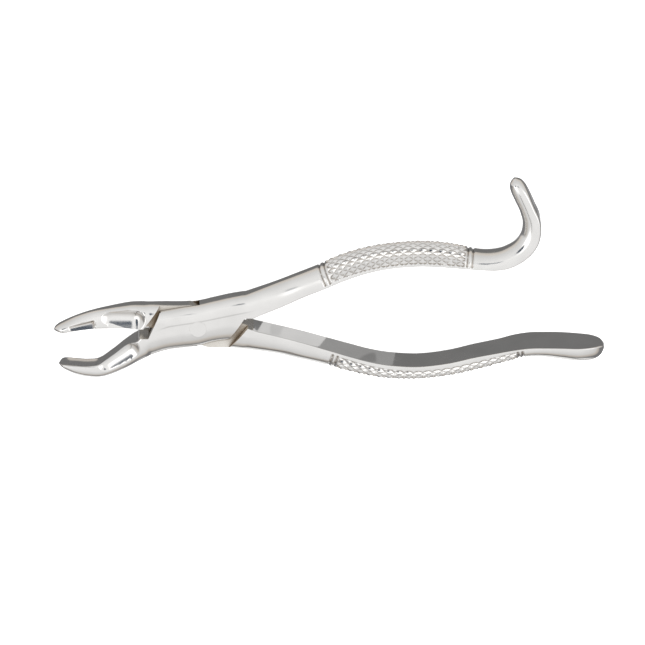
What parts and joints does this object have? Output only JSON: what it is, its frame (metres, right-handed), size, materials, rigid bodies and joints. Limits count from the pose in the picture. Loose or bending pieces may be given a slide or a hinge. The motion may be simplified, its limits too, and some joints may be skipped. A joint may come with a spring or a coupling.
{
  "type": "extraction forceps",
  "caption": "Dental extraction forceps with a box joint, curved knurled handles, a finger hook, a paddle end and one pointed and one rounded beak.",
  "frame": {"origin": "on the joint pin's axis, on the flat underside of the box joint", "axes": "+X along the handles, away from the beaks; +Y in the plane of the two halves, towards the finger hook; +Z along the pin, up from the surface that the forceps lie on"},
  "size_m": [0.178, 0.0708, 0.013],
  "materials": {
    "female_half": "mirror-polished stainless steel",
    "male_half": "mirror-polished stainless steel",
    "joint_pin": "ground stainless steel"
  },
  "bodies": {
    "female_body": {"female_half": "female_half", "joint_pin": "joint_pin"},
    "male_body": {"male_half": "male_half"}
  },
  "joints": [
    {"name": "box_joint", "type": "hinge", "parent": "female_body", "child": "male_body", "pos_m": [0, 0, 0.0045], "axis": [0, 0, 1], "range_deg": [-15, 9]}
  ]
}
